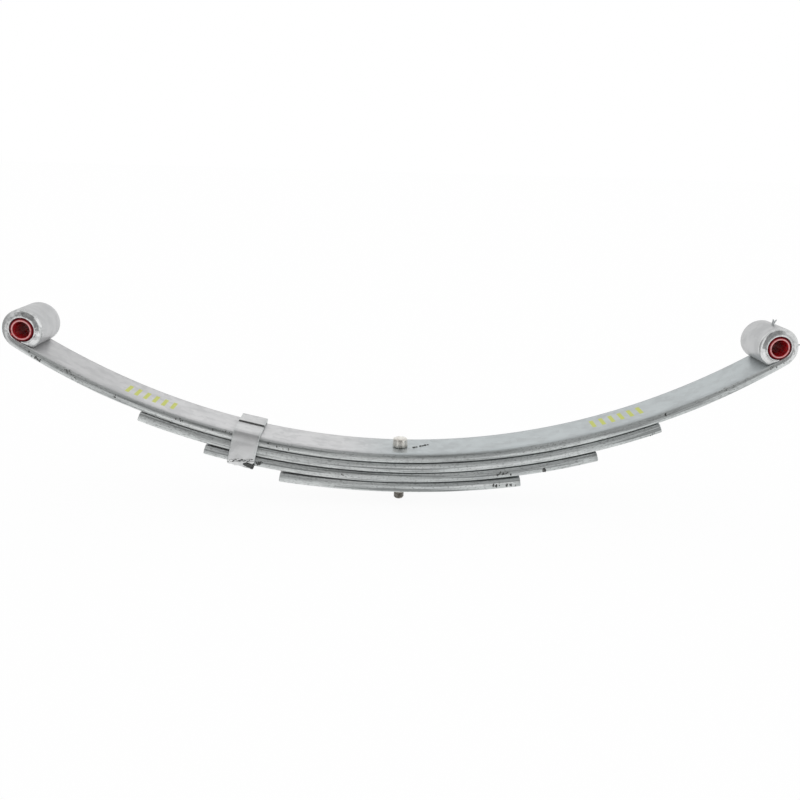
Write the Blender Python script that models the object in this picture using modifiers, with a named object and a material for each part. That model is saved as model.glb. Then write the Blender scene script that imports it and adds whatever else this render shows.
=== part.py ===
# Double-eye trailer leaf spring: four arched leaves, a bush in each rolled eye, a centre bolt
# with its nut, and a rebound clip riveted under the third leaf.
# Metres, +Z up. X runs along the spring and Y across the leaves. The origin is the middle of the
# main leaf's upper face, on the axis of the centre bolt, with the spring unloaded.

import math

import bmesh
import bpy

OBJECT_NAME = "leaf_spring"

# Arch, measured on the unloaded main leaf
EYE_SPAN = 0.64135  # straight across, from eye centre to eye centre
FREE_ARCH = 0.103  # eye centres above the main leaf's upper face
SEAT_LENGTH = 0.026  # over the two flats of every leaf, one on each side of the centre bolt

# Bar that the leaves are cut from
LEAF_WIDTH = 0.04445
LEAF_THICKNESS = 0.0084  # rolled bar with its zinc coat
LEAF_GAP = 0.0005  # between neighbouring leaves
EDGE_ROUND = 0.0024  # rolled edge of the bar
EDGE_ROUND_SHARE = 0.45  # of the thickness, the most that a thinned bar is rounded

# Cut lengths, along each leaf's upper face
SECOND_LEAF_LENGTH = 0.460
THIRD_LEAF_LENGTH = 0.346
FOURTH_LEAF_LENGTH = 0.211

# Rolled eyes
EYE_WALL = 0.0072
EYE_TAPER_LENGTH = 0.080  # stretch over which the main leaf thins down to the eye's wall
EYE_SLIT = 0.0004  # between the rolled tip and the leaf that it closes on
EYE_TIP_EDGE = 0.0010  # thickness left at the end of the scarfed tip

# Eye bushes
BUSH_BORE = 0.0143
BUSH_WALL = 0.0024
BUSH_LENGTH = 0.0445
BUSH_LEAD_DEPTH = 0.0010  # how far the lead-in at each end narrows the bush
BUSH_LEAD_LENGTH = 0.0020

# Centre bolt and nut
BOLT_DIAMETER = 0.0079
BOLT_HEAD_DIAMETER = 0.0127
BOLT_HEAD_HEIGHT = 0.0075
BOLT_HEAD_CHAMFER = 0.0009
BOLT_END_LENGTH = 0.0062  # past the nut
BOLT_END_CHAMFER = 0.0012
NUT_WIDTH = 0.0127  # across the flats
NUT_HEIGHT = 0.0068
NUT_CHAMFER_ANGLE = math.radians(30)

# Rebound clip, a strap bent round the upper three leaves
CLIP_WIDTH = 0.0225
CLIP_THICKNESS = 0.0030
CLIP_BEND = 0.0025  # inner radius at its corners
CLIP_SIDE_GAP = 0.0005
CLIP_TOP_GAP = 0.0010
CLIP_SEAM = 0.0014  # between its folded tips
CLIP_INSET = 0.0215  # from the third leaf's end to the edge of the clip

# Clip rivet, its flared tail flush with the third leaf
RIVET_DIAMETER = 0.0060
RIVET_HEAD_DIAMETER = 0.0115
RIVET_HEAD_HEIGHT = 0.0028
RIVET_FLARE_DIAMETER = 0.0090
RIVET_FLARE_DEPTH = 0.0025

# Equivalent hinges of the two flexing halves
CLAMP_LENGTH = 0.076  # held flat by the axle's U-bolts
FLEX_SHARE = 0.15  # of the free length, from the clamp to the equivalent hinge

FIT_CLEARANCE = 0.0003  # between pieces that seat on or in each other
CUT_OVERRUN = 0.010  # cutters run past what they cut
MERGE_DISTANCE = 0.00001  # closes turned shapes on their axis

# Facets
ARC_STEP = 0.012  # along the leaves
WRAP_STEP = math.radians(13)  # round the eyes
SCARF_STEPS = 4
CORNER_STEPS = 2
BEND_STEPS = 4
DOME_STEPS = 4
TURN_STEPS = 32
HEX_SIDES = 6

# Finishes: colour, roughness, metallic
ZINC = ((0.52, 0.53, 0.54, 1.0), 0.42, 0.9)
PLATED_STEEL = ((0.42, 0.39, 0.34, 1.0), 0.40, 0.9)
RED_NYLON = ((0.30, 0.015, 0.02, 1.0), 0.45, 0.0)

# Values that follow from the sizes above
BUSH_RADIUS = BUSH_BORE / 2 + BUSH_WALL
EYE_BORE_RADIUS = BUSH_RADIUS + FIT_CLEARANCE
EYE_RADIUS = EYE_BORE_RADIUS + EYE_WALL
LEAF_PITCH = LEAF_THICKNESS + LEAF_GAP
CLIPPED_DEPTH = 2 * LEAF_PITCH + LEAF_THICKNESS  # through the three leaves that the clip holds
PACK_DEPTH = 3 * LEAF_PITCH + LEAF_THICKNESS
NUT_CORNER = NUT_WIDTH / 2 / math.cos(math.pi / HEX_SIDES)
COVERED_SEAT = max(BOLT_HEAD_DIAMETER / 2, NUT_CORNER) + FIT_CLEARANCE  # under the head and the nut


def arch_circle():
    # Height of the centre and radius of the circle that the main leaf's upper face follows: it
    # runs through the ends of the flat seat and touches the bore of both eyes from outside.
    half_span = EYE_SPAN / 2
    half_seat = SEAT_LENGTH / 2
    bore = EYE_BORE_RADIUS
    known = (half_span**2 + FREE_ARCH**2 - half_seat**2 - bore**2) / 2
    rise = FREE_ARCH**2 - bore**2
    root = math.sqrt((known * bore) ** 2 + rise * (known**2 + (FREE_ARCH * half_seat) ** 2))
    radius = (known * bore + root) / rise
    return math.sqrt(radius**2 - half_seat**2), radius


ARCH_HEIGHT, ARCH_RADIUS = arch_circle()
SEAT_ANGLE = math.asin(SEAT_LENGTH / 2 / ARCH_RADIUS)
EYE_ANGLE = math.asin(EYE_SPAN / 2 / (ARCH_RADIUS - EYE_BORE_RADIUS))


def clear_scene():
    for obj in list(bpy.data.objects):
        bpy.data.objects.remove(obj, do_unlink=True)


def new_collection(name):
    collection = bpy.data.collections.new(name)
    bpy.context.scene.collection.children.link(collection)
    return collection


def give_finish(obj, finish):
    color, roughness, metallic = finish
    material = bpy.data.materials.new(obj.name + "_finish")
    material.use_nodes = True
    shader = material.node_tree.nodes["Principled BSDF"]
    shader.inputs["Base Color"].default_value = color
    shader.inputs["Roughness"].default_value = roughness
    shader.inputs["Metallic"].default_value = metallic
    obj.data.materials.append(material)


def new_object(name, bm, collection):
    mesh = bpy.data.meshes.new(name)
    bm.to_mesh(mesh)
    bm.free()
    obj = bpy.data.objects.new(name, mesh)
    collection.objects.link(obj)
    return obj


def make_cutter(obj):
    obj.hide_render = True
    obj.display_type = "WIRE"


def cut(obj, cutter, operation="DIFFERENCE"):
    boolean = obj.modifiers.new(cutter.name, "BOOLEAN")
    boolean.operation = operation
    boolean.solver = "EXACT"
    boolean.object = cutter


def turned(name, profile, collection, closed=False):
    # Profile points are (radius, height), running down the outer side.
    bm = bmesh.new()
    points = [bm.verts.new((radius, 0, height)) for radius, height in profile]
    for start, end in zip(points, points[1:]):
        bm.edges.new((start, end))
    if closed:
        bm.edges.new((points[-1], points[0]))
    obj = new_object(name, bm, collection)
    screw = obj.modifiers.new("turn", "SCREW")
    screw.steps = TURN_STEPS
    screw.render_steps = TURN_STEPS
    screw.use_merge_vertices = True
    screw.merge_threshold = MERGE_DISTANCE
    return obj


def on_arc(angle, depth):
    # Point at an angle from the centre bolt, at a depth below the main leaf's upper face
    radius = ARCH_RADIUS + depth
    return radius * math.sin(angle), ARCH_HEIGHT - radius * math.cos(angle)


def round_eye(angle, radius):
    # Point round the right-hand eye
    return EYE_SPAN / 2 + radius * math.cos(angle), FREE_ARCH + radius * math.sin(angle)


def steps_between(start, end, step):
    count = max(1, math.ceil((end - start) / step))
    return [start + (end - start) * i / count for i in range(1, count + 1)]


def bar_section(upper, lower):
    # Corners of the bar across its width, from a point on its upper face and one on its lower
    drop_x = lower[0] - upper[0]
    drop_z = lower[1] - upper[1]
    thickness = math.hypot(drop_x, drop_z)
    corner = min(EDGE_ROUND, EDGE_ROUND_SHARE * thickness)
    ring = []
    for quarter, (side, face) in enumerate([(1, 1), (-1, 1), (-1, -1), (1, -1)]):
        middle_y = side * (LEAF_WIDTH / 2 - corner)
        middle_depth = thickness / 2 + face * (thickness / 2 - corner)
        for i in range(CORNER_STEPS + 1):
            turn = (quarter + i / CORNER_STEPS) * math.pi / 2
            share = (middle_depth + corner * math.sin(turn)) / thickness
            y = middle_y + corner * math.cos(turn)
            ring.append((upper[0] + drop_x * share, y, upper[1] + drop_z * share))
    return ring


def bar(name, stations, collection):
    # A bar lofted through its sections, which differ in thickness and direction
    bm = bmesh.new()
    rings = []
    for upper, lower in stations:
        rings.append([bm.verts.new(point) for point in bar_section(upper, lower)])
    count = len(rings[0])
    for near, far in zip(rings, rings[1:]):
        for i in range(count):
            j = (i + 1) % count
            bm.faces.new((near[i], near[j], far[j], far[i]))
    bm.faces.new(rings[0])
    bm.faces.new(rings[-1])
    bmesh.ops.recalc_face_normals(bm, faces=bm.faces)
    return new_object(name, bm, collection)


def leaf_from_half(upper, lower, stations):
    # The whole leaf from the stations of its right-hand half. Between the centre bolt and the flat
    # that comes out from under the bolt head and the nut, it keeps to its arc.
    flat = tuple((COVERED_SEAT, on_arc(SEAT_ANGLE, depth)[1]) for depth in (upper, lower))
    right = [flat] + stations
    left = [tuple((-x, z) for x, z in station) for station in reversed(right)]
    return left + [(on_arc(0, upper), on_arc(0, lower))] + right


def main_leaf_depth(angle):
    to_eye = (EYE_ANGLE - angle) * ARCH_RADIUS
    share = min(1, to_eye / EYE_TAPER_LENGTH)
    return EYE_WALL + (LEAF_THICKNESS - EYE_WALL) * share


def scarf_turn(reach):
    # Turn past the top of the eye at which a point this far from its centre meets the leaf
    middle = ARCH_RADIUS - EYE_BORE_RADIUS
    limit = ARCH_RADIUS - EYE_SLIT
    return math.acos((middle**2 + reach**2 - limit**2) / (2 * middle * reach))


def scarf_reach(turn):
    # Distance from the eye's centre to the underside of the scarfed tip
    middle = ARCH_RADIUS - EYE_BORE_RADIUS
    limit = ARCH_RADIUS - EYE_SLIT
    return middle * math.cos(turn) + math.sqrt(limit**2 - (middle * math.sin(turn)) ** 2)


def eye_stations():
    # The leaf runs out under the eye, up round the outside and down the inner side, and its
    # scarfed tip closes on the leaf's upper face.
    stations = []
    top = EYE_ANGLE + math.pi / 2
    scarf_start = scarf_turn(EYE_RADIUS)
    scarf_end = scarf_turn(EYE_BORE_RADIUS + EYE_TIP_EDGE)
    for angle in steps_between(top - math.pi, top + scarf_start, WRAP_STEP):
        stations.append((round_eye(angle, EYE_BORE_RADIUS), round_eye(angle, EYE_RADIUS)))
    for i in range(1, SCARF_STEPS + 1):
        turn = scarf_start + (scarf_end - scarf_start) * i / SCARF_STEPS
        angle = top + turn
        stations.append((round_eye(angle, EYE_BORE_RADIUS), round_eye(angle, scarf_reach(turn))))
    return stations


def main_leaf(collection):
    stations = []
    for angle in [SEAT_ANGLE] + steps_between(SEAT_ANGLE, EYE_ANGLE, ARC_STEP / ARCH_RADIUS):
        stations.append((on_arc(angle, 0), on_arc(angle, main_leaf_depth(angle))))
    stations += eye_stations()
    return bar("main_leaf", leaf_from_half(0, LEAF_THICKNESS, stations), collection)


def leaf_end_angle(number, length):
    return length / 2 / (ARCH_RADIUS + number * LEAF_PITCH)


def lower_leaf(name, number, length, collection):
    upper = number * LEAF_PITCH
    lower = upper + LEAF_THICKNESS
    stations = []
    end = leaf_end_angle(number, length)
    for angle in [SEAT_ANGLE] + steps_between(SEAT_ANGLE, end, ARC_STEP / ARCH_RADIUS):
        stations.append((on_arc(angle, upper), on_arc(angle, lower)))
    return bar(name, leaf_from_half(upper, lower, stations), collection)


def bolt_hole(collection):
    radius = BOLT_DIAMETER / 2 + FIT_CLEARANCE
    bottom = -PACK_DEPTH - CUT_OVERRUN
    profile = [(0, CUT_OVERRUN), (radius, CUT_OVERRUN), (radius, bottom), (0, bottom)]
    hole = turned("bolt_hole", profile, collection)
    make_cutter(hole)
    return hole


def center_bolt(collection):
    seat = FIT_CLEARANCE
    top = seat + BOLT_HEAD_HEIGHT
    head = BOLT_HEAD_DIAMETER / 2
    shank = BOLT_DIAMETER / 2
    end = -PACK_DEPTH - FIT_CLEARANCE - NUT_HEIGHT - BOLT_END_LENGTH
    profile = [
        (0, top),
        (head - BOLT_HEAD_CHAMFER, top),
        (head, top - BOLT_HEAD_CHAMFER),
        (head, seat),
        (shank, seat),
        (shank, end + BOLT_END_CHAMFER),
        (shank - BOLT_END_CHAMFER, end),
        (0, end),
    ]
    return turned("center_bolt", profile, collection)


def center_nut(collection, cutters):
    top = -PACK_DEPTH - FIT_CLEARANCE
    bm = bmesh.new()
    bmesh.ops.create_cone(
        bm, cap_ends=True, segments=HEX_SIDES, radius1=NUT_CORNER, radius2=NUT_CORNER, depth=NUT_HEIGHT
    )
    nut = new_object("center_nut", bm, collection)
    nut.location = (0, 0, top - NUT_HEIGHT / 2)

    # Chamfered corners: the prism keeps only what lies inside a turned blank.
    flat = NUT_WIDTH / 2
    drop = (NUT_CORNER - flat) * math.tan(NUT_CHAMFER_ANGLE)
    rim = NUT_CORNER + FIT_CLEARANCE
    edge = drop + FIT_CLEARANCE * math.tan(NUT_CHAMFER_ANGLE)
    bottom = top - NUT_HEIGHT
    over = CUT_OVERRUN * math.tan(NUT_CHAMFER_ANGLE)
    blank_profile = [
        (0, top + over),
        (flat - CUT_OVERRUN / 2, top + over / 2),
        (rim, top - edge),
        (rim, bottom + edge),
        (flat - CUT_OVERRUN / 2, bottom - over / 2),
        (0, bottom - over),
    ]
    blank = turned("nut_blank", blank_profile, cutters)
    make_cutter(blank)
    cut(nut, blank, "INTERSECT")
    return nut


def bush(name, side, axis, collection):
    end = BUSH_LENGTH / 2
    bore = BUSH_BORE / 2
    rim = BUSH_RADIUS - BUSH_LEAD_DEPTH
    lead = end - BUSH_LEAD_LENGTH
    profile = [
        (bore, end),
        (rim, end),
        (BUSH_RADIUS, lead),
        (BUSH_RADIUS, -lead),
        (rim, -end),
        (bore, -end),
    ]
    obj = turned(name, profile, collection, closed=True)
    obj.parent = axis
    obj.location = (side * EYE_SPAN / 2 - axis.location.x, 0, FREE_ARCH - axis.location.z)
    obj.rotation_euler = (math.pi / 2, 0, 0)
    return obj


def flex_axis(name, side, collection):
    # Equivalent hinge of one half, across the main leaf at mid thickness
    clamp = CLAMP_LENGTH / 2
    reach = clamp + FLEX_SHARE * (EYE_SPAN / 2 - clamp)
    x, z = on_arc(math.asin(reach / ARCH_RADIUS), LEAF_THICKNESS / 2)
    axis = bpy.data.objects.new(name, None)
    axis.location = (side * x, 0, z)
    collection.objects.link(axis)
    return axis


def clip_angle():
    end = leaf_end_angle(2, THIRD_LEAF_LENGTH)
    return end - (CLIP_INSET + CLIP_WIDTH / 2) / ARCH_RADIUS


def place_at_clip(obj):
    # Local Z points out of the main leaf's upper face at the middle of the clip.
    angle = clip_angle()
    x, z = on_arc(angle, 0)
    obj.location = (-x, 0, z)
    obj.rotation_euler = (0, angle, 0)


def clip_inner_face():
    # Across the clip, from one folded tip under the leaves to the other tip
    side = LEAF_WIDTH / 2 + CLIP_SIDE_GAP
    top = CLIP_TOP_GAP
    bottom = -CLIPPED_DEPTH - FIT_CLEARANCE
    corners = [(-side, top, 90), (-side, bottom, 180), (side, bottom, 270), (side, top, 360)]
    points = [(-CLIP_SEAM / 2, top)]
    for y, z, start in corners:
        middle_y = y - math.copysign(CLIP_BEND, y)
        middle_z = z - CLIP_BEND if z == top else z + CLIP_BEND
        for i in range(BEND_STEPS + 1):
            turn = math.radians(start + 90 * i / BEND_STEPS)
            points.append((middle_y + CLIP_BEND * math.cos(turn), middle_z + CLIP_BEND * math.sin(turn)))
    points.append((CLIP_SEAM / 2, top))
    return points


def rebound_clip(collection):
    bm = bmesh.new()
    verts = [bm.verts.new((-CLIP_WIDTH / 2, y, z)) for y, z in clip_inner_face()]
    edges = [bm.edges.new(pair) for pair in zip(verts, verts[1:])]
    swept = bmesh.ops.extrude_edge_only(bm, edges=edges)["geom"]
    far = [item for item in swept if isinstance(item, bmesh.types.BMVert)]
    bmesh.ops.translate(bm, verts=far, vec=(CLIP_WIDTH, 0, 0))
    clip = new_object("rebound_clip", bm, collection)
    strap = clip.modifiers.new("strap", "SOLIDIFY")
    strap.thickness = CLIP_THICKNESS
    strap.offset = -1
    strap.use_even_offset = True
    place_at_clip(clip)
    return clip


def rivet_profile(clearance):
    # Head under the strap, shank up through strap and leaf, tail flared into the leaf
    top = -2 * LEAF_PITCH - FIT_CLEARANCE + clearance
    strap = -CLIPPED_DEPTH - FIT_CLEARANCE - CLIP_THICKNESS
    flare = RIVET_FLARE_DIAMETER / 2 + clearance
    shank = RIVET_DIAMETER / 2 + clearance
    return top, strap, flare, shank


def clip_rivet(collection):
    top, strap, flare, shank = rivet_profile(0)
    seat = strap - FIT_CLEARANCE
    head = RIVET_HEAD_DIAMETER / 2
    profile = [(0, top), (flare, top), (shank, top - RIVET_FLARE_DEPTH), (shank, seat), (head, seat)]
    for i in range(1, DOME_STEPS):
        turn = math.pi / 2 * i / DOME_STEPS
        profile.append((head * math.cos(turn), seat - RIVET_HEAD_HEIGHT * math.sin(turn)))
    profile.append((0, seat - RIVET_HEAD_HEIGHT))
    rivet = turned("clip_rivet", profile, collection)
    place_at_clip(rivet)
    return rivet


def rivet_hole(collection):
    top, strap, flare, shank = rivet_profile(FIT_CLEARANCE)
    slope = (flare - shank) / RIVET_FLARE_DEPTH
    over = LEAF_GAP / 2
    bottom = strap - CUT_OVERRUN
    profile = [
        (0, top + over),
        (flare + slope * over, top + over),
        (shank, top - RIVET_FLARE_DEPTH),
        (shank, bottom),
        (0, bottom),
    ]
    hole = turned("rivet_hole", profile, collection)
    place_at_clip(hole)
    make_cutter(hole)
    return hole


def build():
    clear_scene()
    parts = new_collection(OBJECT_NAME)
    cutters = new_collection("cutters")

    leaves = [
        main_leaf(parts),
        lower_leaf("second_leaf", 1, SECOND_LEAF_LENGTH, parts),
        lower_leaf("third_leaf", 2, THIRD_LEAF_LENGTH, parts),
        lower_leaf("fourth_leaf", 3, FOURTH_LEAF_LENGTH, parts),
    ]
    hole = bolt_hole(cutters)
    for leaf in leaves:
        cut(leaf, hole)
        give_finish(leaf, ZINC)

    give_finish(center_bolt(parts), PLATED_STEEL)
    nut = center_nut(parts, cutters)
    cut(nut, hole)
    give_finish(nut, PLATED_STEEL)

    clip = rebound_clip(parts)
    clip_hole = rivet_hole(cutters)
    cut(clip, clip_hole)
    cut(leaves[2], clip_hole)
    give_finish(clip, ZINC)
    give_finish(clip_rivet(parts), ZINC)

    for end, side in (("left", -1), ("right", 1)):
        axis = flex_axis(end + "_flex_axis", side, parts)
        give_finish(bush(end + "_bush", side, axis, parts), RED_NYLON)


build()
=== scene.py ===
import math
import random

import bmesh
import bpy
from mathutils import Matrix, Vector, noise


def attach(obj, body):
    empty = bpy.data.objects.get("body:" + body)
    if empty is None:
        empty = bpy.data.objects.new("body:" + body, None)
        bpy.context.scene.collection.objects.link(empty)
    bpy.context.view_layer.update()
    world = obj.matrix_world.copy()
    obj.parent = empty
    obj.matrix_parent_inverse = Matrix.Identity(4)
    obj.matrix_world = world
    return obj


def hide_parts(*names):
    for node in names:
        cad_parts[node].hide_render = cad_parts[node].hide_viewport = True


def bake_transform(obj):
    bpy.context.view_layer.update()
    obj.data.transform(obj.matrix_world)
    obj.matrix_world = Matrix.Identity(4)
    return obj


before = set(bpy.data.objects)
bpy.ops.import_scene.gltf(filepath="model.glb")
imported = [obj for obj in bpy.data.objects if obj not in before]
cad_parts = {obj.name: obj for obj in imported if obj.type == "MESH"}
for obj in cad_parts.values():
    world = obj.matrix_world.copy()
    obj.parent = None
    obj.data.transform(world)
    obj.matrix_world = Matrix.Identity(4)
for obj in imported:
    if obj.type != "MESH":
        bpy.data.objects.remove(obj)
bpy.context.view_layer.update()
print("frame loaded,", len(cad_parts), "nodes")

# the arch that all leaves follow: X along the spring, Z up, zero at the seat
arch = {
    "height": 0.6075049541,  # middle of the circle
    "radius": 0.6076440317,  # to the upper face of the main leaf
    "bendFrom": 0.020,  # start of a stretch along each half that ends at bendTo
    "bendTo": 0.300,
}


def onArc(angle, depth):
    reach = arch["radius"] + depth
    return Vector((reach * math.sin(angle), 0, arch["height"] - reach * math.cos(angle)))


def flex(piece, side):
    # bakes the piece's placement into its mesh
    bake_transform(piece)


def hump(value, middle, width):
    return math.exp(-(((value - middle) / width) ** 2))


# nodes

def emptyTree(owner, kind):
    owner.use_nodes = True
    owner.node_tree.nodes.clear()
    return owner.node_tree.nodes.new("ShaderNode" + kind).inputs["Surface"]


def newFinish(name):
    finish = bpy.data.materials.new(name)
    return finish, emptyTree(finish, "OutputMaterial")


def link(source, target):
    target.id_data.links.new(source, target)


def put(near, kind, sockets, **settings):
    # a node in the same tree as a socket, with its inputs linked or set
    node = near.id_data.nodes.new("ShaderNode" + kind)
    for setting, value in settings.items():
        setattr(node, setting, value)
    for socket, value in sockets.items():
        if isinstance(value, bpy.types.NodeSocket):
            link(value, node.inputs[socket])
        else:
            node.inputs[socket].default_value = value
    return node.outputs


def readMark(near, name):
    return put(near, "Attribute", {}, attribute_name=name)["Vector"]


def parts(vector):
    return list(put(vector, "SeparateXYZ", {0: vector}))


def cloud(place, scale, detail=2.0, rough=0.5):
    sockets = {"Vector": place, "Scale": scale, "Detail": detail, "Roughness": rough}
    return put(place, "TexNoise", sockets)["Fac"]


def drawnOut(place, scale, detail=2.0, rough=0.5):
    # a cloud with its own scale along each axis
    stretched = put(place, "Mapping", {"Vector": place, "Scale": scale})["Vector"]
    return cloud(stretched, 1, detail, rough)


def crystals(place, scale):
    cells = put(place, "TexVoronoi", {"Vector": place, "Scale": scale})["Color"]
    return put(cells, "SeparateColor", {"Color": cells})["Red"]


def ease(value, low, high, toLow=0.0, toHigh=1.0):
    sockets = {"Value": value, "From Min": low, "From Max": high, "To Min": toLow, "To Max": toHigh}
    return put(value, "MapRange", sockets, interpolation_type="SMOOTHSTEP")["Result"]


def sums(kind, first, second=0.0):
    return put(first, "Math", {0: first, 1: second}, operation=kind)["Value"]


def times(first, *others):
    for other in others:
        first = sums("MULTIPLY", first, other)
    return first


def tint(share, first, second):
    return put(share, "Mix", {0: share, 6: first, 7: second}, data_type="RGBA")[2]


def blendValue(share, first, second):
    return put(share, "Mix", {0: share, 2: first, 3: second})[0]


def dress(surface, height, relief, sockets):
    normal = put(height, "Bump", {"Distance": relief, "Height": height})["Normal"]
    skin = put(surface, "BsdfPrincipled", {**sockets, "Normal": normal})
    link(skin["BSDF"], surface)


# finishes: barPlace is the place on the straight bar or on the piece itself, wear is (edge, grime and
# painted shade, shine)
# a range is (from, to), or (from, to, result at from, result at to)

zinc = {
    "left": (0.64, 0.64, 0.645, 1),
    "leftEnd": (0.55, 0.55, 0.555, 1),
    "right": (0.500, 0.540, 0.550, 1),
    "barrel": (0.55, 0.555, 0.56, 1),  # the rolled eyes
    "edge": (0.62, 0.650, 0.642, 1),
    "dullAndShade": (0.40, 0.41, 0.415, 1),
    "bright": (0.81, 0.82, 0.82, 1),  # thick zinc round the eyes
    "streak": (0.19, 0.20, 0.20, 1),
    # the fleck colour also paints the shade that the wear marks
    "fleck": (0.055, 0.057, 0.053, 1),
    "metal": 0.80,
    "rough": (0.25, 0.75, 0.30, 0.44),
    "shinyMetal": 0.96,
    "shinyRough": 0.15,
    "dirtAndShadeMetal": 0.25,
    "dirtAndShadeRough": 0.6,
    # scales of the patterns, some of them along, across and through the bar
    "mottleScale": (34, 60, 60),
    "lineScale": (9, 560, 560),
    "crustScale": (380, 900, 900),
    "speckScale": (420, 800, 800),
    "spangleScale": 190,
    "grainScale": 1500,
    "runScale": 230,
    "patchScale": 24,
    # places along the spring
    "leftFade": (-0.180, -0.290),
    "coolFrom": (-0.060, 0.005),  # cooler towards the right-hand eye, as the zinc set
    "coolTo": (0.358, 0.335),
    "barrelFrom": (0.350, 0.375),
    "smoother": (-0.10, 0.10, 1.0, 0.45),  # the runs set smoother on the right
    "dirtyEnds": (0.262, 0.300, 0.0, 0.12),
    "cleanMiddle": (0.06, 0.16, 0.2, 1.0),
    # how much of each pattern shows; lines and crust end with their strength
    "patchShows": (0.54, 0.68),
    "speckShows": (0.56, 0.64),
    "edgeShows": 0.8,
    "spangleShare": 0.2,
    "dullShows": (0.36, 0.72, 0.0, 0.36),
    "runShows": (0.46, 0.66, 0.0, 0.6),
    "drawnShows": (0.0, 1.0, 1.0, 0.25),  # less under thick zinc
    "darkLines": (0.48, 0.66, 0.7),
    "brightLines": (0.44, 0.32, 0.55),
    "darkCrust": (0.52, 0.68, 0.40),
    "fleckShows": (0.9, 0.4),  # on bare edges, and on thick zinc
    "grimeAndShadeShows": (0.30, 0.50, 0.55, 1.0),
    # the relief, and how much of it each pattern takes up
    "relief": 0.00035,
    "grainLift": 0.07,
    "mottleLift": 0.22,
    "lineLift": 0.55,
    "crustLift": 0.25,
    "runLift": 0.9,
}
paintBars = {
    "colour": (0.52, 0.56, 0.045, 1),
    "groups": ((-0.2500, -0.2010, 6, -0.003), (0.1710, 0.2225, 6, 0.001)),  # from, to, bars, middle
    "reach": 0.0095,  # half a bar's length across the leaf
    "share": 0.21,  # half a bar's width, of the spacing
    "soft": 0.04,  # blurred sides, of the spacing
    "endSoft": 0.02,
    "reachSoft": 0.0015,
    "wornScale": 700,
    "worn": (0.30, 0.55, 0.70, 0.92),
    "rough": 0.5,
}


def barPaint(place, along, across):
    worn = ease(cloud(place, paintBars["wornScale"]), *paintBars["worn"])
    share, soft, endSoft = paintBars["share"], paintBars["soft"], paintBars["endSoft"]
    reach = paintBars["reach"]
    mask = None
    for start, end, count, middle in paintBars["groups"]:
        turn = times(sums("SUBTRACT", along, start), count / (end - start))
        away = sums("ABSOLUTE", sums("SUBTRACT", sums("FRACT", turn), 0.5))
        bars = ease(away, share + soft, share - soft)
        inside = times(ease(turn, 0.0, endSoft), ease(turn, count, count - endSoft))
        side = sums("ABSOLUTE", sums("SUBTRACT", across, middle))
        inside = times(inside, ease(side, reach, reach - paintBars["reachSoft"]))
        group = times(bars, inside, worn)
        mask = group if mask is None else sums("MAXIMUM", mask, group)
    return mask


def zincFinish(name, streaks=1.0, flecks=1.0, painted=False):
    finish, surface = newFinish(name)
    place = readMark(surface, "barPlace")
    along, across = parts(place)[:2]
    reach = sums("ABSOLUTE", along)
    edge, grimeAndShade, shine = parts(readMark(surface, "wear"))

    def shows(value, key):
        return ease(value, *zinc[key])

    mottle = drawnOut(place, zinc["mottleScale"], 3, 0.55)
    lines = drawnOut(place, zinc["lineScale"], 3, 0.60)
    crust = drawnOut(place, zinc["crustScale"])
    speck = drawnOut(place, zinc["speckScale"])
    grain = cloud(place, zinc["grainScale"])
    runs = cloud(place, zinc["runScale"], detail=1)
    spangle = times(crystals(place, zinc["spangleScale"]), zinc["spangleShare"])
    shade = sums("ADD", times(mottle, 1 - zinc["spangleShare"]), spangle)
    wet = times(shine, shows(along, "smoother"))
    drawn = times(edge, shows(shine, "drawnShows"))

    # flecks in patches on the edges, and grime and painted shade where a piece is marked with them
    patch = sums("ADD", cloud(place, zinc["patchScale"]), shows(reach, "dirtyEnds"))
    patch = times(shows(patch, "patchShows"), shows(reach, "cleanMiddle"))
    bare, thick = zinc["fleckShows"]
    fleck = ease(shine, 0.0, 1.0, bare * flecks, thick * flecks)
    dirtAndShade = times(patch, shows(speck, "speckShows"), edge, fleck)
    # the wear's grime channel holds real grime, and painted shade round the eyes, the bush shoulders, the
    # bolt head and the clip's tab tips
    dirtAndShade = sums("MAXIMUM", dirtAndShade, times(grimeAndShade, shows(grain, "grimeAndShadeShows")))

    # colours, each laid over those before it
    colour = tint(shows(along, "leftFade"), zinc["left"], zinc["leftEnd"])
    coats = [
        (times(shows(along, "coolFrom"), shows(along, "coolTo")), "right"),
        (shows(reach, "barrelFrom"), "barrel"),
        (times(edge, zinc["edgeShows"]), "edge"),
        (shows(shade, "dullShows"), "dullAndShade"),
        (shine, "bright"),
        (times(shows(runs, "runShows"), wet), "dullAndShade"),
    ]
    drawnLines = ((lines, "darkLines", "streak"), (lines, "brightLines", "bright"))
    for pattern, key, tone in (*drawnLines, (crust, "darkCrust", "streak")):
        low, high, most = zinc[key]
        coats.append((times(ease(pattern, low, high, 0.0, most * streaks), drawn), tone))
    for share, tone in (*coats, (dirtAndShade, "fleck")):
        colour = tint(share, colour, zinc[tone])
    metal = blendValue(shine, zinc["metal"], zinc["shinyMetal"])
    metal = blendValue(dirtAndShade, metal, zinc["dirtAndShadeMetal"])
    rough = blendValue(shine, shows(shade, "rough"), zinc["shinyRough"])
    rough = blendValue(dirtAndShade, rough, zinc["dirtAndShadeRough"])
    if painted:
        paint = barPaint(place, along, across)
        colour = tint(paint, colour, paintBars["colour"])
        metal = blendValue(paint, metal, 0.0)
        rough = blendValue(paint, rough, paintBars["rough"])

    height = times(grain, zinc["grainLift"])
    for lift in (
        times(mottle, zinc["mottleLift"]),
        times(lines, edge, zinc["lineLift"]),
        times(crust, drawn, zinc["crustLift"]),
        times(runs, wet, zinc["runLift"]),
    ):
        height = sums("ADD", height, lift)
    sockets = {"Base Color": colour, "Metallic": metal, "Roughness": rough}
    dress(surface, height, zinc["relief"], sockets)
    return finish


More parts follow.
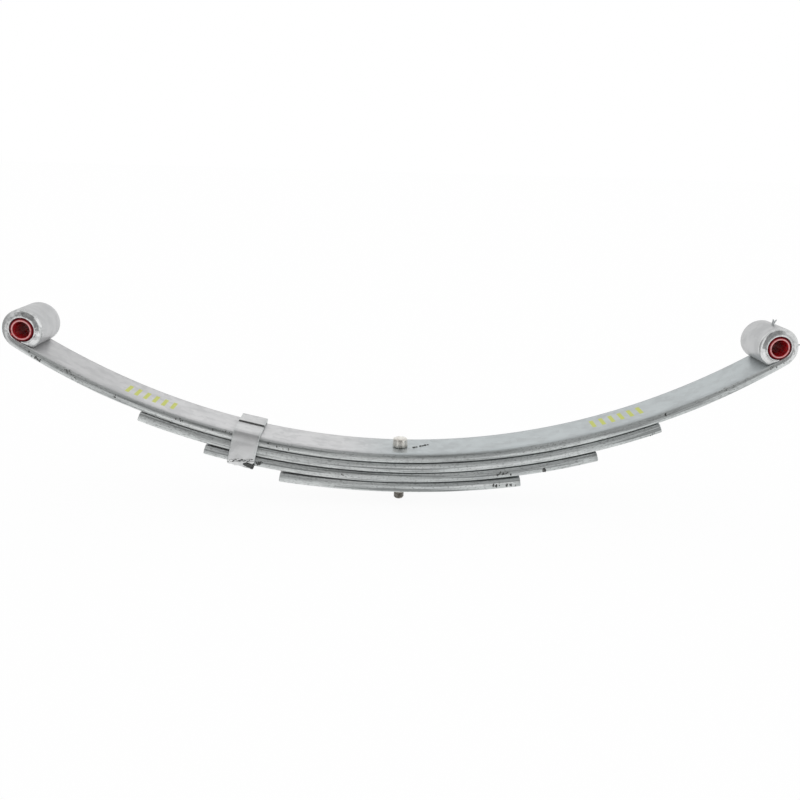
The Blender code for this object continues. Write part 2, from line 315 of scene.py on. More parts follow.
plating = {
    "bright": (0.86, 0.84, 0.79, 1),
    "stain": (0.68, 0.65, 0.60, 1),
    "dark": (0.10, 0.085, 0.07, 1),
    "metal": 0.88,
    "blotchScale": 260,
    "turningScale": (60, 60, 2600),  # fine rings round the bolt
    "stainShows": (0.40, 0.70),
    "darkShows": (0.25, 0.55, 0.6, 1.0),
    "rough": (0.3, 0.7, 0.20, 0.36),
    "relief": 0.00004,
}


def platedFinish(name):
    finish, surface = newFinish(name)
    place = readMark(surface, "barPlace")
    grimeAndShade = parts(readMark(surface, "wear"))[1]
    blotch = cloud(place, plating["blotchScale"], detail=3)
    turning = drawnOut(place, plating["turningScale"])
    colour = tint(ease(blotch, *plating["stainShows"]), plating["bright"], plating["stain"])
    # darker where the wear marks it: the bare steel of the thread, and painted shade on the head
    dirtAndShade = times(grimeAndShade, ease(blotch, *plating["darkShows"]))
    dress(surface, turning, plating["relief"], {
        "Base Color": tint(dirtAndShade, colour, plating["dark"]),
        "Metallic": plating["metal"],
        "Roughness": ease(blotch, *plating["rough"]),
    })
    return finish


bushRed = {
    "body": (0.47, 0.014, 0.019, 1),
    # deep red of the blotches, also used as painted shade on the recessed shoulder
    "deep": (0.10, 0.004, 0.008, 1),
    "scuff": (0.70, 0.44, 0.44, 1),
    "gloss": 0.06,
    "blotchScale": 320,
    "scratchScale": (500, 500, 40),  # scratches run through the eye
    "deepShows": (0.35, 0.7, 0.0, 0.6),
    "scuffShows": (0.25, 0.55, 0.5, 1.0),
    "rough": (0.3, 0.7, 0.45, 0.62),
    "relief": 0.00005,
}


def bushFinish(name):
    finish, surface = newFinish(name)
    place = readMark(surface, "barPlace")
    edge, grimeAndShade = parts(readMark(surface, "wear"))[:2]
    blotch = cloud(place, bushRed["blotchScale"], detail=3)
    scratch = drawnOut(place, bushRed["scratchScale"])
    colour = tint(ease(blotch, *bushRed["deepShows"]), bushRed["body"], bushRed["deep"])
    worn = times(edge, ease(scratch, *bushRed["scuffShows"]))
    # painted shade: the recessed shoulder round the rim is darkened where the wear marks it
    colour = tint(grimeAndShade, colour, bushRed["deep"])
    dress(surface, scratch, bushRed["relief"], {
        "Base Color": tint(worn, colour, bushRed["scuff"]),
        "Roughness": ease(scratch, *bushRed["rough"]),
        "Specular IOR Level": bushRed["gloss"],
    })
    return finish


drossGrey = {
    "dark": (0.045, 0.046, 0.044, 1),
    "grey": (0.20, 0.205, 0.20, 1),
    "metal": 0.45,
    "crustScale": 1400,
    "greyShows": (0.45, 0.7),
    "rough": (0.3, 0.7, 0.65, 0.40),
    "relief": 0.0002,
}


def drossFinish(name):
    finish, surface = newFinish(name)
    place = readMark(surface, "barPlace")
    crust = cloud(place, drossGrey["crustScale"], detail=3)
    grey = ease(crust, *drossGrey["greyShows"])
    dress(surface, crust, drossGrey["relief"], {
        "Base Color": tint(grey, drossGrey["dark"], drossGrey["grey"]),
        "Metallic": drossGrey["metal"],
        "Roughness": ease(crust, *drossGrey["rough"]),
    })
    return finish


finishes = {
    "mainLeaf": zincFinish("mainLeafZinc", painted=True),
    "lowerLeaf": zincFinish("lowerLeafZinc", streaks=1.2, flecks=0.9),
    "clip": zincFinish("clipZinc", streaks=0.35, flecks=0.8),
    "bolt": platedFinish("boltPlating"),
    "bush": bushFinish("bushRed"),
    "dross": drossFinish("zincDross"),
}
print("finishes made:", ", ".join(finishes))


# meshes

def newPiece(name, bm, marks, finish, sharp=40):
    bm.normal_update()
    bmesh.ops.recalc_face_normals(bm, faces=bm.faces)
    mesh = bpy.data.meshes.new(name)
    bm.to_mesh(mesh)
    bm.free()
    for face in mesh.polygons:
        face.use_smooth = True
    mesh.set_sharp_from_angle(angle=math.radians(sharp))
    for slot, title in enumerate(("barPlace", "wear")):
        mark = mesh.attributes.new(title, "FLOAT_VECTOR", "POINT")
        mark.data.foreach_set("vector", [number for pair in marks for number in pair[slot]])
    mesh.materials.append(finish)
    piece = bpy.data.objects.new(name, mesh)
    bpy.context.scene.collection.objects.link(piece)
    return piece


def bridge(bm, near, far):
    count = max(len(near), len(far))
    for i in range(count):
        j = (i + 1) % count
        corners = [near[i % len(near)], near[j % len(near)], far[j % len(far)], far[i % len(far)]]
        bm.faces.new(list(dict.fromkeys(corners)))  # three corners where a row is a single point


def loft(name, rings, finish, sharp=40, ends="capped"):
    # rings of (point, place, wear)
    bm = bmesh.new()
    marks = []
    rows = []
    for ring in rings:
        rows.append([bm.verts.new(point) for point, place, wear in ring])
        marks += [(place, wear) for point, place, wear in ring]
    for near, far in zip(rows, rows[1:]):
        bridge(bm, near, far)
    if ends == "capped":
        bm.faces.new(rows[0])
        bm.faces.new(rows[-1])
    if ends == "joined":
        bridge(bm, rows[-1], rows[0])
    return newPiece(name, bm, marks, finish, sharp)


def around(reaches, height, wear):
    # a ring about the Z axis, with its reach at even turns
    ring = []
    for i, reach in enumerate(reaches):
        turn = 2 * math.pi * i / len(reaches)
        point = (reach * math.cos(turn), reach * math.sin(turn), height)
        ring.append((point, point, wear))
    return ring


def lathe(name, profile, finish, segments=64, sharp=40):
    # profile of (radius, height, wear), joined up on itself unless it runs from axis to axis
    rings = []
    for radius, height, wear in profile:
        rings.append(around([radius] * (segments if radius > 0 else 1), height, wear))
    return loft(name, rings, finish, sharp, "joined" if profile[0][0] > 0 else "pointed")


def rounded(radius, height, size, start, wear, count=6):
    # quarter-round profile about (radius, height), clockwise from start degrees
    points = []
    for i in range(count + 1):
        turn = math.radians(start - 90 * i / count)
        points.append((radius + size * math.cos(turn), height + size * math.sin(turn), wear))
    return points


crumb = {
    "swell": 0.45,
    "knobs": 1.7,
    "apart": 3.1,  # no two are alike
    "sharp": 60,
}


def lumps(name, spots, finish, wear=(1, 0, 0)):
    # small crusted blobs, each of (centre, outward, size)
    bm = bmesh.new()
    for number, (centre, outward, size) in enumerate(spots):
        turn = Vector(outward).to_track_quat("Z", "X").to_matrix()
        shift = Vector((number * crumb["apart"], 0, 0))
        made = bmesh.ops.create_icosphere(bm, subdivisions=2, radius=1)
        for vertex in made["verts"]:
            swell = 1 + crumb["swell"] * noise.noise(vertex.co * crumb["knobs"] + shift)
            flat = Vector((vertex.co.x * size[0], vertex.co.y * size[1], vertex.co.z * size[2])) * swell
            vertex.co = Vector(centre) + turn @ flat
    bm.verts.index_update()
    marks = [(tuple(vertex.co), wear) for vertex in bm.verts]
    return newPiece(name, bm, marks, finish, crumb["sharp"])


# leaves

bar = {
    "width": 0.04445,
    "thick": 0.0085,
    "pitch": 0.0089,
    "mostBulge": 0.6,  # limit of an edge's bulge, of the thickness
    "flatPoints": 9,
    "edgePoints": 15,
    "step": 0.003,
    "ripple": 0.00012,  # drawn lines and waves in the zinc of the edges
    "lineScale": (18, 330, 330),
    "waveScale": (60, 90, 90),
    "waveShift": 7,
    "waveShare": 0.5,
    "filled": 0.8,  # share of the ripple that thick zinc fills
    "patternStep": 0.06,  # from leaf to leaf, so that no two look alike
}


def barSection(thick, edgeForm):
    # (across, depth, edge) round the bar
    widest, upperShape, lowerShape, bulge, spread = edgeForm
    bulge = min(bulge, bar["mostBulge"] * thick)
    flat = bar["width"] / 2 - bulge
    widest *= thick
    points = []
    for side in (1, -1):
        for i in range(bar["flatPoints"]):
            across = side * flat * (1 - 2 * i / bar["flatPoints"])
            points.append((across, thick if side < 0 else 0.0, 0.0))
        for i in range(bar["edgePoints"]):
            turn = side * (math.pi * i / bar["edgePoints"] - math.pi / 2)
            power = 2 / (lowerShape if turn > 0 else upperShape)
            drop = abs(math.sin(turn)) ** power
            depth = widest + drop * (thick - widest) if turn > 0 else widest - drop * widest
            out = math.cos(turn) ** power
            points.append((-side * (flat + bulge * out), depth, min(1, spread * out)))
    return points


def grainAt(place, scale, shift=0):
    x, y, z = (number * size for number, size in zip(place, scale))
    return noise.noise(Vector((x, y, z + shift)))


def ripple(place):
    line = grainAt(place, bar["lineScale"])
    wave = grainAt(place, bar["waveScale"], bar["waveShift"])
    return bar["ripple"] * (line + bar["waveShare"] * wave)


def barRing(upper, lower, along, number, side, edgeForm, inset=0.0, grimeAndShade=(0, 0), shine=0.0):
    # one section of a leaf; grime and painted shade are given for its upper and its lower face
    drop = lower - upper
    thick = drop.length
    down = drop / thick
    section = barSection(thick, edgeForm)
    ring = []
    for i, (y, depth, edge) in enumerate(section):
        place = (along * side, y, depth + bar["patternStep"] * number)
        after, before = section[(i + 1) % len(section)], section[i - 1]
        outY, outDepth = after[1] - before[1], before[0] - after[0]
        lift = ripple(place) * edge * (1 - bar["filled"] * shine) / math.hypot(outY, outDepth)
        share = depth / thick
        wear = (edge, grimeAndShade[0] * (1 - share) + grimeAndShade[1] * share, shine * edge)
        y = (y + lift * outY) * (1 - inset / (bar["width"] / 2))
        depth = thick / 2 + (depth + lift * outDepth - thick / 2) * (1 - inset / (thick / 2))
        point = upper + down * depth
        ring.append(((side * point.x, y, point.z), place, wear))
    return ring


def stepsTo(start, end, step):
    count = max(1, math.ceil(abs(end - start) / step - 1e-6))
    return [start + (end - start) * i / count for i in range(1, count + 1)]


# an edge's form: its widest line, its shape above and below that (2 is oval, more is squarer),
# its bulge, and how far its own look spreads onto the faces
mainLeaf = {
    "barEdge": (0.56, 1.40, 2.05, 0.0021, 1.7),
    "endEdge": (0.41, 1.36, 2.05, 0.0018, 1.7),
    "endFrom": 0.18,  # where the bar's edge starts to change to that of its ends
    "endTo": 0.28,
    "eyeEdge": (0.27, 3.6, 1.95, 0.0037, 3.2),
}
eye = {
    "x": 0.320675,
    "z": 0.103,
    "bore": 0.00985,
    "wall": 0.0072,
    "taper": 0.080,  # the leaf thins over this length, towards the eye
    "slit": 0.0002,  # under the rolled tip
    "tip": 0.0010,  # thickness left at the tip
    "turnStep": math.radians(4),
    "tipSteps": 8,
    "rollIn": 1.2,  # turn over which the edge changes from the leaf's to the eye's
    "leafShine": 0.5,  # thick zinc starts on the leaf's end
    "shineFrom": 0.25,  # of the taper
    "crease": 0.20,  # painted shade where the tip closes on the leaf
    "creaseAlong": 0.0035,
    "creaseTurn": 0.16,
    "dullAndShade": 0.26,  # and a wider band of painted shade round it
    "shadeTurn": 0.6,
    "outerDull": 0.24,  # on the side away from the leaf
    "outerAt": -1.4,
    "outerTurn": 0.8,
}


def mixForms(first, second, share):
    share = min(1, max(0, share))
    return [a + (b - a) * share for a, b in zip(mainLeaf[first], mainLeaf[second])]


def mainEdge(along):
    start, end = mainLeaf["endFrom"], mainLeaf["endTo"]
    return mixForms("barEdge", "endEdge", (along - start) / (end - start))


def mainLeafHalf(name, side):
    bore, wall = eye["bore"], eye["wall"]
    middle = arch["radius"] - bore
    limit = arch["radius"] - eye["slit"]
    endAngle = math.asin(eye["x"] / middle)
    centre = Vector((eye["x"], 0, eye["z"]))
    top = endAngle + math.pi / 2

    def tipTurn(reach):
        return math.acos((middle**2 + reach**2 - limit**2) / (2 * middle * reach))

    def eyeWay(turn):
        return Vector((math.cos(top + turn), 0, math.sin(top + turn)))

    tipStart, tipEnd = tipTurn(bore + wall), tipTurn(bore + eye["tip"])
    heel = centre + eyeWay(tipStart) * (bore + wall)  # where the barrel meets the leaf
    heelAlong = math.atan2(heel.x, arch["height"] - heel.z) * arch["radius"]

    rings = []
    for angle in [0] + stepsTo(0, endAngle, bar["step"] / arch["radius"]):
        along = angle * arch["radius"]
        share = min(1, (endAngle - angle) * arch["radius"] / eye["taper"])
        thick = wall + (bar["thick"] - wall) * share
        # painted shade on the leaf where the eye's tip closes on it
        dirtAndShade = eye["crease"] * hump(along, heelAlong, eye["creaseAlong"])
        shine = eye["leafShine"] * max(0, 1 - share / eye["shineFrom"])
        upper, under = onArc(angle, 0), onArc(angle, thick)
        rings.append(barRing(upper, under, along, 0, side, mainEdge(along), 0, (dirtAndShade, 0), shine))

    # round the eye, and down to the scarfed tip that closes on the leaf
    turns = [(turn, bore + wall) for turn in stepsTo(-math.pi, tipStart, eye["turnStep"])]
    for turn in stepsTo(tipStart, tipEnd, (tipEnd - tipStart) / eye["tipSteps"]):
        reach = middle * math.cos(turn) + math.sqrt(limit**2 - (middle * math.sin(turn)) ** 2)
        turns.append((turn, reach))
    along = endAngle * arch["radius"]
    last = -math.pi
    for turn, reach in turns:
        along += (turn - last) * (bore + wall / 2)
        last = turn
        way = eyeWay(turn)
        # painted shade on the barrel where it closes on the leaf, and a wider band of it round there
        dirtAndShade = eye["crease"] * hump(turn, tipStart, eye["creaseTurn"])
        dirtAndShade += eye["dullAndShade"] * hump(turn, tipStart, eye["shadeTurn"])
        # darker and rougher on the side away from the leaf
        dullAndShade = eye["outerDull"] * hump(turn, eye["outerAt"], eye["outerTurn"])
        roll = min(1, (turn + math.pi) / eye["rollIn"])
        shine = eye["leafShine"] + (1 - eye["leafShine"]) * roll
        inner, outer = centre + way * bore, centre + way * reach
        form = mixForms("endEdge", "eyeEdge", roll)
        rings.append(barRing(inner, outer, along, 0, side, form, 0, (dullAndShade, dirtAndShade + dullAndShade), shine))
    return loft(name, rings, finishes["mainLeaf"])


# the lower leaves stand off a little, and more towards their ends: drop and widest are given
# for the middle (0), the left end (-1) and the right end (1)
lowerLeaves = {
    "second": {
        "number": 1,
        "ends": {-1: 0.2310, 1: 0.2310},
        "drop": {0: 0.0, -1: 0.0002, 1: 0.0001},
        "widest": {0: 0.56, -1: 0.56, 1: 0.38},
        "shape": (3.0, 4.4),
        "endDirt": {-1: 0.0, 1: 0.0},
    },
    "third": {
        "number": 2,
        "ends": {-1: 0.1725, 1: 0.1750},
        "drop": {0: 0.0002, -1: 0.0011, 1: 0.0007},
        "widest": {0: 0.55, -1: 0.44, 1: 0.52},
        "shape": (3.1, 4.6),
        "endDirt": {-1: 0.0, 1: 0.6},
    },
    "fourth": {
        "number": 3,
        "ends": {-1: 0.1060, 1: 0.1070},
        "drop": {0: 0.0004, -1: 0.0019, 1: 0.0016},
        "widest": {0: 0.54, -1: 0.50, 1: 0.54},
        "shape": (3.2, 4.8),
        "endDirt": {-1: 0.0, 1: 0.4},
    },
}
lowerBar = {
    "bulge": 0.0031,
    "spread": 1.7,
    "vary": 1.6,  # how much an edge's shape changes along the leaf
    "waves": 14,
    "apart": 5.3,  # no two leaves are alike
    "cutRound": 0.0010,  # dulled ends
    "cutSteps": 5,
    "dirtReach": 0.004,  # from a cut end
    "dirtUnder": 0.3,
}


def towardsEnd(leaf, what, side, along):
    share = along / leaf["ends"][side]
    return leaf[what][0] + (leaf[what][side] - leaf[what][0]) * share * share


def lowerEdge(leaf, side, along):
    spot = Vector((side * along * lowerBar["waves"], leaf["number"] * lowerBar["apart"], 0))
    vary = lowerBar["vary"] * noise.noise(spot)
    upperShape, lowerShape = leaf["shape"]
    widest = towardsEnd(leaf, "widest", side, along)
    return widest, upperShape + vary, lowerShape + vary, lowerBar["bulge"], lowerBar["spread"]


def lowerLeafHalf(name, leaf, side):
    upper = leaf["number"] * bar["pitch"]
    radius = arch["radius"] + upper
    end = leaf["ends"][side]
    cut, cutSteps = lowerBar["cutRound"], lowerBar["cutSteps"]
    stations = [(along, 0.0) for along in [0] + stepsTo(0, end - cut, bar["step"])]
    for i in range(1, cutSteps + 1):
        turn = math.pi / 2 * i / cutSteps
        stations.append((end - cut + cut * math.sin(turn), cut * (1 - math.cos(turn))))
    rings = []
    for along, inset in stations:
        angle = along / radius
        form = lowerEdge(leaf, side, along)
        face = upper + towardsEnd(leaf, "drop", side, along)
        top, under = onArc(angle, face), onArc(angle, face + bar["thick"])
        dirtAndShade = leaf["endDirt"][side] * hump(along, end, lowerBar["dirtReach"])
        grimeAndShade = (dirtAndShade, lowerBar["dirtUnder"] * dirtAndShade)
        rings.append(barRing(top, under, along, leaf["number"], side, form, inset, grimeAndShade))
    return loft(name, rings, finishes["lowerLeaf"])


for half, side in (("Left", -1), ("Right", 1)):
    piece = mainLeafHalf("mainLeaf" + half, side)
    flex(piece, side)
    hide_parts("main_leaf")
    for which, leaf in lowerLeaves.items():
        piece = lowerLeafHalf(which + "Leaf" + half, leaf, side)
        flex(piece, side)
        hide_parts(which + "_leaf")
print("leaves made")

# crusts of dross that the zinc bath left
dross = {
    # on the upper face as (along, across, size)
    "face": [
        (0.0126, -0.0026, 0.0012), (0.0148, -0.0014, 0.0009), (0.0184, 0.0010, 0.0010),
        (0.0206, 0.0018, 0.0009), (0.0228, 0.0036, 0.0011), (0.0252, 0.0046, 0.0008),
    ],
    # on the front edges as (from, to, depth at each end, count, size)
    "edge": [
        (0.0830, 0.0950, 0.0216, 0.0226, 16, 0.0006), (0.0776, 0.0985, 0.0318, 0.0336, 18, 0.0006),
        (-0.1690, -0.1475, 0.0022, 0.0026, 10, 0.0004), (-0.3305, -0.3180, 0.0040, 0.0050, 16, 0.0005),
        (0.3265, 0.3350, 0.0016, 0.0030, 7, 0.0004), (-0.1210, -0.0950, 0.0030, 0.0054, 12, 0.0004),
        (-0.1235, -0.1175, 0.0246, 0.0212, 18, 0.0006), (-0.1990, -0.1915, 0.0028, 0.0034, 5, 0.0004),
        (-0.2530, -0.2490, 0.0040, 0.0046, 4, 0.0004), (0.2130, 0.2215, 0.0158, 0.0166, 5, 0.0004),
        (-0.0560, -0.0440, 0.0212, 0.0226, 4, 0.0004), (0.1218, 0.1246, 0.0230, 0.0242, 8, 0.0008),
        (0.2335, 0.2355, 0.0016, 0.0036, 6, 0.0005),
    ],
    "seed": 11,
    "thick": 0.00024,
    "dome": 0.75,  # height of a crust on the face, of its size
    "faceLong": 1.3,  # lengths, of the size
    "edgeLong": 1.5,
    "sizes": (0.6, 1.4),
    "scatter": 0.0012,  # up and down an edge
    "margin": 0.0006,  # kept from the faces
    "steepest": 0.2,  # limits the lean where an edge runs out
}


def sideOf(along):
    return 1 if along > 0 else -1


def onEdge(edgeForm, depth):
    # how far an edge stands in from its widest line at a depth, and how much it faces up there
    widest, upperShape, lowerShape, bulge = edgeForm[:4]
    widest *= bar["thick"]
    above = depth < widest
    shape, span = (upperShape, widest) if above else (lowerShape, bar["thick"] - widest)
    share = abs(depth - widest) / span
    out = (1 - share**shape) ** (1 / shape)
    lean = (share / max(out, dross["steepest"])) ** (shape - 1) * bulge / span
    return bulge * (1 - out), lean if above else -lean


def edgeSeat(along, depth):
    # a spot on the front of the pack and its outward way
    side = sideOf(along)
    number = max(0, min(len(lowerLeaves), int(depth / bar["pitch"])))
    within = max(depth - number * bar["pitch"], dross["margin"])
    within = min(within, bar["thick"] - dross["margin"])
    drop, form = 0, mainEdge(abs(along))
    if number:
        leaf = list(lowerLeaves.values())[number - 1]
        drop, form = towardsEnd(leaf, "drop", side, abs(along)), lowerEdge(leaf, side, abs(along))
    inward, lean = onEdge(form, within)
    angle = along / arch["radius"]
    centre = onArc(angle, number * bar["pitch"] + within + drop)
    centre.y = inward - bar["width"] / 2
    return centre, Vector((-math.sin(angle) * lean, -1, math.cos(angle) * lean)).normalized()


def drossSpots():
    spots = {-1: [], 1: []}
    pick = random.Random(dross["seed"])
    for along, across, size in dross["face"]:
        angle = along / arch["radius"]
        centre = onArc(angle, 0) + Vector((0, across, 0))
        outward = (-math.sin(angle), 0, math.cos(angle))
        form = (size * dross["faceLong"], size, size * dross["dome"])
        spots[sideOf(along)].append((centre, outward, form))
    for start, end, depthStart, depthEnd, count, typical in dross["edge"]:
        for i in range(count):
            share = pick.random()
            along = start + (end - start) * share
            depth = depthStart + (depthEnd - depthStart) * share
            depth += pick.uniform(-dross["scatter"], dross["scatter"])
            size = typical * pick.uniform(*dross["sizes"])
            form = (size * dross["edgeLong"], size, dross["thick"])
            spots[sideOf(along)].append((*edgeSeat(along, depth), form))
    return spots


for side, spots in drossSpots().items():
    flex(lumps("drossLeft" if side < 0 else "drossRight", spots, finishes["dross"]), side)
print("dross made")


# rebound clip

clip = {
    "angle": 0.22271,  # along the arch, on the left half
    "width": 0.0235,
    "thick": 0.0030,
    "topBend": (0.0012, 0.0062),  # the fold is short over the top and runs out long down the sides
    "bottomBend": 0.0025,
    "sideGap": 0.0005,
    "splay": 0.0005,  # the sides stand out more at the top
    "topGap": 0.0010,
    "under": 0.0008,
    "seam": 0.0014,
    "frontDip": 0.0007,  # the front tab is pressed down, the back one stands up
    "backRise": 0.0003,
    "edgeRound": 0.0008,
    "rows": {"tab": 10, "side": 14, "under": 16},
    "tipRow": 0.0006,  # behind a tab's tip
    "bendSteps": 14,
    "widthPoints": 15,
    "cornerSteps": 4,
    "edgeLook": 0.8,
    "faceLook": 0.15,
    "bow": 0.0005,  # the sides bulge between the bends
    "uneven": 0.00010,
    "unevenScale": 140,
    "patternAt": (-0.14, 0.5),  # its place in the zinc's pattern
    # painted shade on the tabs' tips, to darken the seam between them
    "tipShade": 0.9,
    "bead": 0.0007,  # lumps of zinc along the lower bend
    "beadScale": (260, 330),
    "beadShine": 0.35,
    "beadDirt": (0.55, 1.2),  # all over, and more on the lumps
    "dirtFrom": 0.001,  # it is on the right of the front
    "dirtFade": 0.003,
    "backDirt": 0.2,
}
clipDepth = 2 * bar["pitch"] + bar["thick"]


def clipFrame():
    spot = onArc(clip["angle"], 0)
    return Matrix.Translation((-spot.x, 0, spot.z)) @ Matrix.Rotation(clip["angle"], 4, "Y")


def clipPath():
    # (y, z, outward y, outward z, stage) along the strap's inner face, from tip to tip
    half = bar["width"] / 2 + clip["sideGap"]
    wide = half + clip["splay"]
    top, bottom = clip["topGap"], -clipDepth - clip["under"]
    (over, down), low = clip["topBend"], clip["bottomBend"]
    tip = clip["seam"] / 2
    path = []

    def straight(start, end, out, stage):
        count = clip["rows"][stage]
        for i in range(count):
            share = (i + 0.5) / count
            bow = clip["bow"] * 4 * share * (1 - share) * out[0]
            lean = clip["bow"] * 4 * (1 - 2 * share) / math.dist(start, end) if stage == "side" else 0
            y = start[0] + (end[0] - start[0]) * share + bow
            z = start[1] + (end[1] - start[1]) * share
            path.append((y, z, out[0], out[1] - lean, stage))

    def corner(y, z, bendY, bendZ, start, stage):
        for i in range(clip["bendSteps"] + 1):
            turn = math.radians(start + 90 * i / clip["bendSteps"])
            way = Vector((math.cos(turn) / bendY, math.sin(turn) / bendZ)).normalized()
            path.append((y + bendY * math.cos(turn), z + bendZ * math.sin(turn), way.x, way.y, stage))

    front, back = top - clip["frontDip"], top + clip["backRise"]
    path.append((-tip, front, 0, 1, "tip"))
    straight((-tip - clip["tipRow"], front), (-wide + over, top), (0, 1), "tab")
    corner(-wide + over, top - down, over, down, 90, "tab")
    straight((-wide, top - down), (-half, bottom + low), (-1, 0), "side")
    corner(-half + low, bottom + low, low, low, 180, "bead")
    straight((-half + low, bottom), (half - low, bottom), (0, -1), "under")
    corner(half - low, bottom + low, low, low, 270, "bead")
    straight((half, bottom + low), (wide, top - down), (1, 0), "side")
    corner(wide - over, top - down, over, down, 0, "tab")
    straight((wide - over, top), (tip + clip["tipRow"], back), (0, 1), "tab")
    path.append((tip, back, 0, 1, "tip"))
    return path


def strapSection():
    # (along the spring, through the thickness, edge) round the strap
    half, thick, corner = clip["width"] / 2, clip["thick"], clip["edgeRound"]
    points = []
    for quarter, (way, outer) in enumerate([(1, 1), (-1, 1), (-1, 0), (1, 0)]):
        midX = way * (half - corner)
        middle = thick - corner if outer else corner
        for i in range(clip["cornerSteps"] + 1):
            turn = (quarter + i / clip["cornerSteps"]) * math.pi / 2
            x, through = midX + corner * math.cos(turn), middle + corner * math.sin(turn)
            points.append((x, through, clip["edgeLook"]))
        if quarter in (0, 2):
            for i in range(1, clip["widthPoints"]):
                x = midX * (1 - 2 * i / clip["widthPoints"])
                points.append((x, thick if outer else 0.0, clip["faceLook"]))
    return points


def beadLook(x, y, along):
    # swelling and dirt of the zinc on the lower bends
    scaleAlong, scaleAcross = clip["beadScale"]
    lump = noise.noise(Vector((along * scaleAlong, x * scaleAcross, 3)))
    dirty = min(1, max(0, (x - clip["dirtFrom"]) / clip["dirtFade"])) if y < 0 else clip["backDirt"]
    plain, lumpy = clip["beadDirt"]
    return lump, max(0, min(1, dirty * (plain + lumpy * lump)))


def reboundClip():
    turnTo = clipFrame()
    patternX, patternThrough = clip["patternAt"]
    rings = []
    along = 0.0
    last = None
    for y, z, outY, outZ, stage in clipPath():
        if last:
            along += math.hypot(y - last[0], z - last[1])
        last = (y, z)
        ring = []
        for x, through, edge in strapSection():
            place = (x + patternX, along, through + patternThrough)
            lift = clip["uneven"] * noise.noise(Vector(place) * clip["unevenScale"])
            # painted shade on the tab tips
            wear = (edge, clip["tipShade"] if stage == "tip" else 0.0, 0.0)
            if stage == "bead":
                lump, grimeAndShade = beadLook(x, y, along)
                lift += clip["bead"] * lump * (through / clip["thick"])
                wear = (edge, grimeAndShade, clip["beadShine"])
            out = through + lift
            ring.append((turnTo @ Vector((x, y + outY * out, z + outZ * out)), place, wear))
        rings.append(ring)
    return loft("reboundClip", rings, finishes["clip"])


# zinc that ran down to the lower bend: bright beads on the front, and a burnt patch at the right corner
clipRun = {
    "seed": 5,
    "margin": 0.0010,  # kept from the strap's edges
    "low": 0.0030,  # height of the run over the bottom, at the left and at the right
    "high": 0.0102,
    "beads": 16,
    "beadSize": (0.0008, 0.0016),
    "beadForm": (0.6, 1.2, 0.5),  # along the spring, up and out
    "beadScatter": (-0.0004, 0.0004),
    "beadWear": (0.2, 0, 0.9),
    "specks": 64,  # dark grains along the run
    "speckSize": (0.0004, 0.0008),
    "speckForm": (1, 1.5, 0.6),
    "speckScatter": (-0.0012, 0.0007),
    "burnt": 60,
    "burntSize": (0.0005, 0.0013),
    "burntForm": (0.8, 1, 0.5),
    "burntFrom": 0.0032,
    "burntPast": 0.0008,  # round the corner
    "burntCrowd": 0.7,  # thicker towards the corner
    "burntLow": (0.0006, 0.0034),  # at the corner, and more away from it
    "burntHigh": (0.0056, 0.0014),
}


def onClipFront(x, height):
    # a spot on the front of the strap and its outward way, at a height over the strap's underside
    reach = clip["bottomBend"] + clip["thick"]
    face = bar["width"] / 2 + clip["sideGap"] + clip["thick"]
    under = -clipDepth - clip["under"] - clip["thick"]
    drop = min(0, height - reach)
    rise = max(0, height - reach) / (clip["topGap"] - clip["topBend"][1] + clip["thick"] - under - reach)
    face += clip["bow"] * 4 * rise * (1 - rise) + clip["splay"] * rise
    out = math.sqrt(reach**2 - drop**2)
    turnTo = clipFrame()
    spot = turnTo @ Vector((x, -(face - reach + out), under + height))
    return spot, turnTo.to_3x3() @ Vector((0, -out, drop))


def clipLump(pick, kind, x, height):
    size = pick.uniform(*clipRun[kind + "Size"])
    return (*onClipFront(x, height), [size * share for share in clipRun[kind + "Form"]])


def alongRun(pick, kind, half):
    count = clipRun[kind + "s"]
    spots = []
    for i in range(count):
        share = (i + pick.random()) / count
        height = clipRun["low"] + (clipRun["high"] - clipRun["low"]) * math.sqrt(share)
        height += pick.uniform(*clipRun[kind + "Scatter"])
        spots.append(clipLump(pick, kind, half * (2 * share - 1), height))
    return spots


def burntCorner(pick, half):
    start, end = clipRun["burntFrom"], half + clipRun["burntPast"]
    (low, lowMore), (high, highMore) = clipRun["burntLow"], clipRun["burntHigh"]
    spots = []
    for i in range(clipRun["burnt"]):
        share = pick.random() ** clipRun["burntCrowd"]
        height = pick.uniform(low + lowMore * (1 - share), high + highMore * pick.random())
        spots.append(clipLump(pick, "burnt", start + (end - start) * share, height))
    return spots


def clipRuns():
    pick = random.Random(clipRun["seed"])
    half = clip["width"] / 2 - clipRun["margin"]
    beads = alongRun(pick, "bead", half)
    burnt = burntCorner(pick, half) + alongRun(pick, "speck", half)
    yield lumps("clipBeads", beads, finishes["clip"], clipRun["beadWear"])
    yield lumps("clipBurnt", burnt, finishes["dross"])


rivet = {
    "shank": 0.0030,
    "head": 0.00575,
    "headHeight": 0.0028,
    "flare": 0.0045,
    "flareDepth": 0.0025,
    "sunk": 0.0003,
    "domeSteps": 10,
}


def clipRivet():
    plain, worn = (0, 0, 0), (0.6, 0.1, 0)
    shank, head, tall = rivet["shank"], rivet["head"], rivet["headHeight"]
    top = -2 * bar["pitch"] - rivet["sunk"]
    seat = -clipDepth - clip["under"] - clip["thick"]
    profile = [(0, top, plain), (rivet["flare"], top, plain), (shank, top - rivet["flareDepth"], plain)]
    profile += [(shank, seat, plain), (head, seat, worn)]
    for i in range(1, rivet["domeSteps"]):
        turn = math.pi / 2 * i / rivet["domeSteps"]
        profile.append((head * math.cos(turn), seat - tall * math.sin(turn), worn))
    profile.append((0, seat - tall, worn))
    piece = lathe("clipRivet", profile, finishes["clip"], 40)
    piece.data.transform(clipFrame())
    return piece


for piece, node in ((reboundClip(), "rebound_clip"), (clipRivet(), "clip_rivet")):
    flex(piece, -1)
    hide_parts(node)
for piece in clipRuns():
    flex(piece, -1)
print("rebound clip made")


# centre bolt and nut

